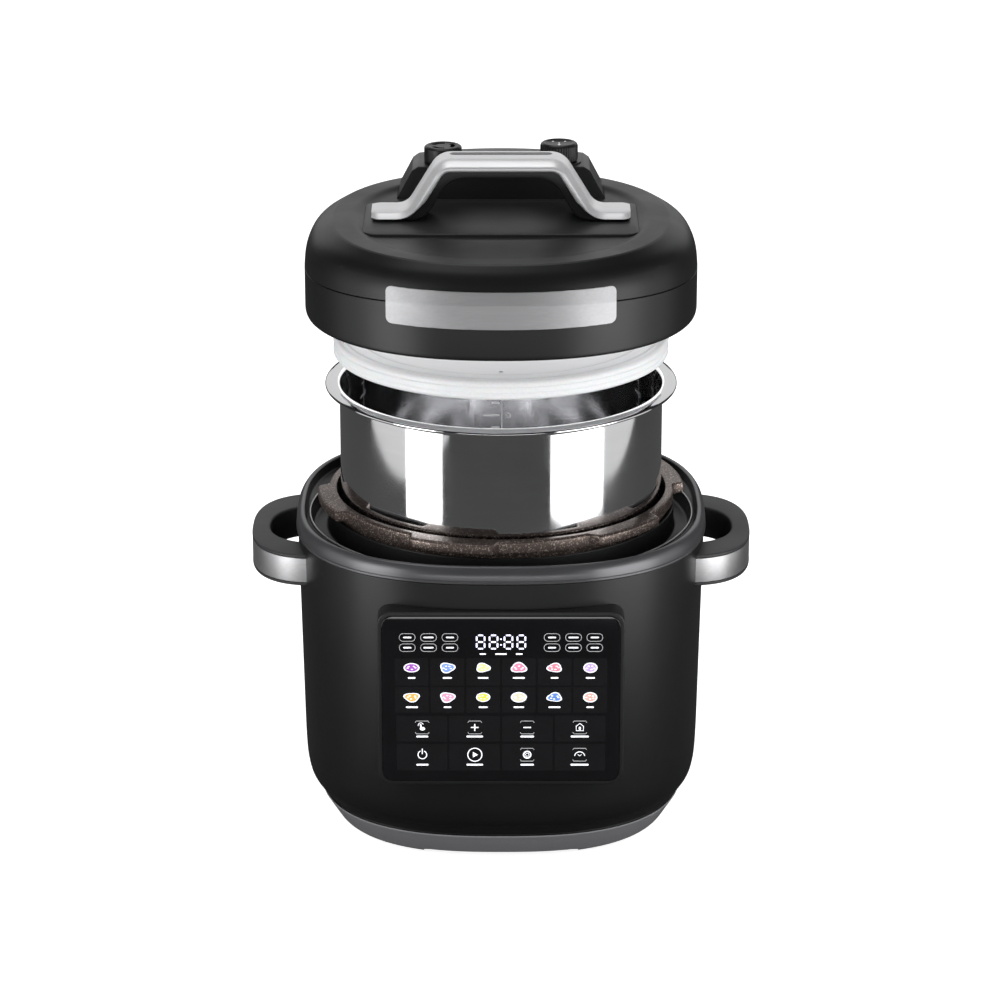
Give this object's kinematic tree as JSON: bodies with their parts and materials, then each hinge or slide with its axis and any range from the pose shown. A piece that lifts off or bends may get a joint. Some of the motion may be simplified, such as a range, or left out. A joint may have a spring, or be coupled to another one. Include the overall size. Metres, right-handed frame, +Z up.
{
  "type": "electric pressure cooker",
  "caption": "Countertop electric pressure cooker shown apart: base with touch panel and side handles, steel pot, sealing ring with inner plate, and domed locking lid.",
  "frame": {"origin": "on the floor, on the axis of the pot, which is the middle of the bounding box within its tolerance", "axes": "+Z up, front with the touch panel towards -Y, +X to the right of someone facing the front"},
  "size_m": [0.343, 0.2972, 0.46],
  "materials": {
    "grey_plastic": "moulded, fine grain",
    "shell_black": "satin black coating on sheet steel",
    "rim_gunmetal": "metallic gunmetal paint, semi gloss",
    "black_plastic": "moulded, satin",
    "lid_black": "moulded, satin crown and smooth shoulder",
    "brushed_silver": "brushed along its length",
    "mirror_steel": "polished stainless steel",
    "cast_bronze": "cast, bronze-brown speckled coating",
    "cast_aluminium": "machined casting",
    "spun_aluminium": "spun sheet, satin",
    "plated_steel": "zinc plated",
    "silicone": "translucent white silicone",
    "foot_rubber": "soft matt rubber",
    "cable": "PVC sleeve",
    "panel_gloss": "gloss black touch panel with lit icons",
    "board_green": "solder mask",
    "clear_plastic": "clear moulding"
  },
  "bodies": {
    "base_unit": {"base_tray": "grey_plastic", "body_shell": "shell_black", "top_rim": "rim_gunmetal", "pot_support": "plated_steel", "outer_pot": "cast_bronze", "heating_plate": "cast_aluminium", "sensor_spring": "plated_steel", "sensor_bracket": "plated_steel", "heat_shield": "plated_steel", "thermal_fuse": "clear_plastic", "panel_frame": "black_plastic", "panel_glass": "panel_gloss", "control_board": "board_green", "display_module": "black_plastic", "light_guide": "clear_plastic", "power_board": "board_green", "relay": "black_plastic", "capacitor": "black_plastic", "transformer": "plated_steel", "power_inlet": "black_plastic", "wire_harness": "cable", "cup_bracket": "black_plastic", "handle_left": "black_plastic", "handle_right": "black_plastic", "handle_band_left": "brushed_silver", "handle_band_right": "brushed_silver", "foot_1": "foot_rubber", "base_screw_1": "plated_steel", "foot_2": "foot_rubber", "base_screw_2": "plated_steel", "foot_3": "foot_rubber", "base_screw_3": "plated_steel", "foot_4": "foot_rubber", "base_screw_4": "plated_steel", "handle_screw_left_front": "plated_steel", "handle_screw_left_rear": "plated_steel", "handle_screw_right_front": "plated_steel", "handle_screw_right_rear": "plated_steel"},
    "pot": {"inner_pot": "mirror_steel"},
    "seal": {"sealing_ring": "silicone"},
    "plate": {"inner_plate": "spun_aluminium", "plate_grommet": "silicone"},
    "lid": {"lid_shell": "lid_black", "lid_band": "lid_black", "lid_front_plate": "brushed_silver", "lid_deck": "lid_black", "lid_handle_core": "black_plastic", "lid_handle_cap": "brushed_silver", "lid_dish": "spun_aluminium", "plate_stud": "plated_steel", "steam_pipe": "plated_steel", "pipe_nut": "plated_steel", "anti_block_shield": "plated_steel", "float_valve_cap": "black_plastic", "lid_handle_screw_left": "plated_steel", "lid_handle_screw_right": "plated_steel"},
    "knob": {"steam_knob": "black_plastic"},
    "float": {"float_pin": "plated_steel"},
    "sensor": {"sensor_probe": "spun_aluminium"},
    "cup": {"condensate_cup": "clear_plastic"}
  },
  "joints": [
    {"name": "pot_lift", "type": "slide", "parent": "base_unit", "child": "pot", "axis": [0, 0, 1], "range_m": [-0.073, 0.09]},
    {"name": "seal_lift", "type": "slide", "parent": "pot", "child": "seal", "axis": [0, 0, 1], "range_m": [-0.0185, 0.02]},
    {"name": "lid_twist", "type": "hinge", "parent": "seal", "child": "plate", "pos_m": [0, 0, 0.337], "axis": [0, 0, -1], "range_deg": [0, 30]},
    {"name": "lid_lift", "type": "slide", "parent": "plate", "child": "lid", "axis": [0, 0, 1], "range_m": [-0.0525, 0.03]},
    {"name": "steam_knob_turn", "type": "hinge", "parent": "lid", "child": "knob", "pos_m": [0.04, 0.076, 0.45], "axis": [0, 0, 1], "range_deg": [0, 60]},
    {"name": "float_rise", "type": "slide", "parent": "lid", "child": "float", "axis": [0, 0, 1], "range_m": [0, 0.0035]},
    {"name": "sensor_press", "type": "slide", "parent": "base_unit", "child": "sensor", "axis": [0, 0, 1], "range_m": [-0.0019, 0.0023], "deforming": ["sensor_spring"]},
    {"name": "cup_slide", "type": "slide", "parent": "base_unit", "child": "cup", "axis": [0, 1, 0], "range_m": [0, 0.04]}
  ],
  "couplings": [
    {"joint": "sensor_press", "follows": "pot_lift", "ratio": 0.025}
  ]
}
